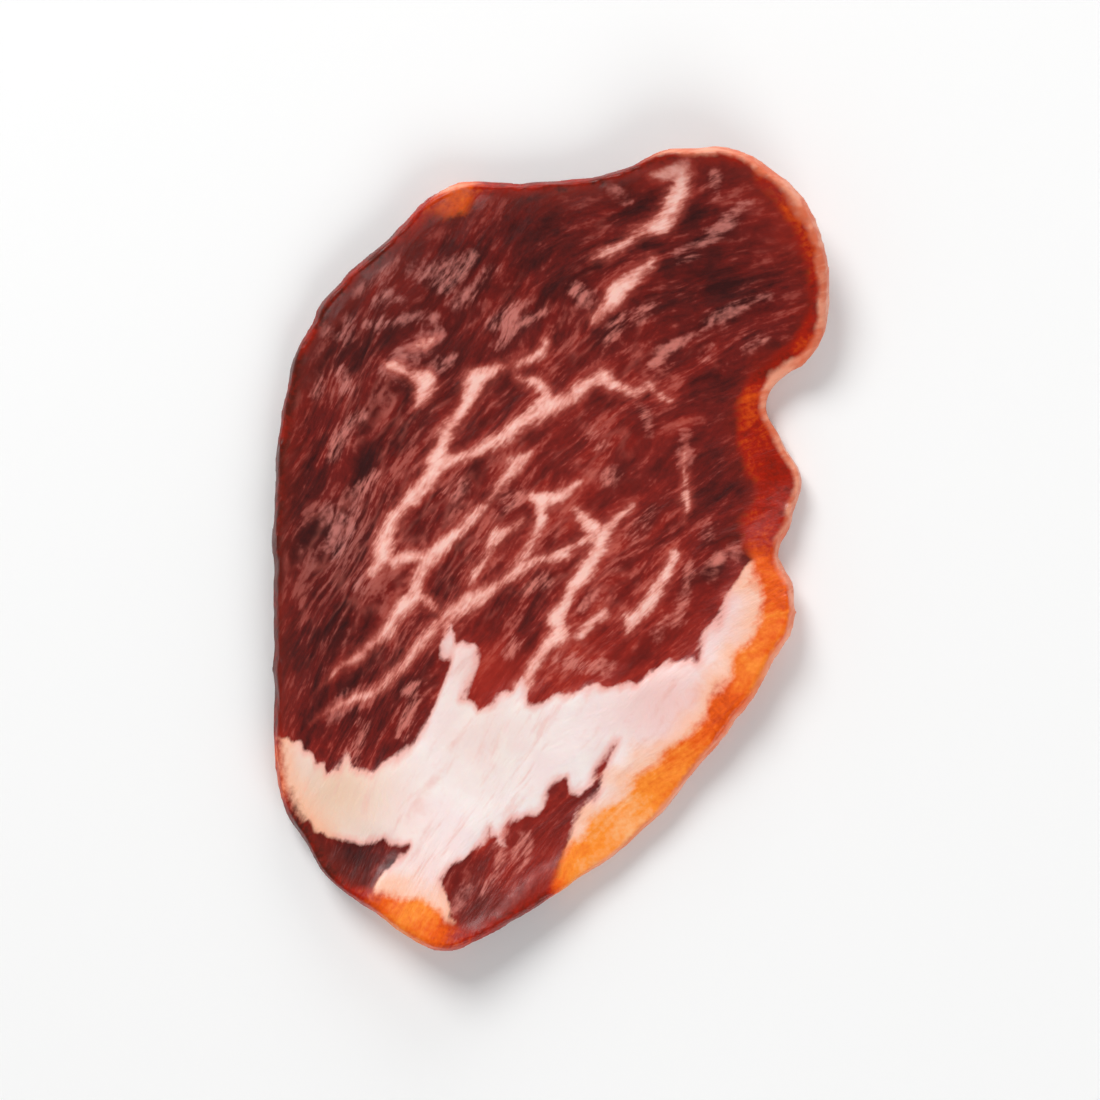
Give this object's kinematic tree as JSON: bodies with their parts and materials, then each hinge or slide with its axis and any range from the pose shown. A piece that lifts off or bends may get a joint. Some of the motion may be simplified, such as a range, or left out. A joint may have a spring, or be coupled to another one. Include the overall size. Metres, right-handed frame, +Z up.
{
  "type": "cured iberian pork presa slice",
  "caption": "Thin marbled slice of cured pork shoulder with white fat and a paprika-stained rim, lying flat with its edges curled up.",
  "frame": {"origin": "middle of the bottom of the slice's box, on the surface that it lies on", "axes": "+Y along the slice's length towards the broad curled lobe, +X towards the notched edge with the wide rind, +Z up out of the cut face"},
  "size_m": [0.0518, 0.0746, 0.0073],
  "materials": {
    "cured_pork": "moist, slightly oily satin; deep red lean with cream marbling and an orange rim"
  },
  "bodies": {
    "root": {"presa_slice": "cured_pork"}
  },
  "joints": []
}
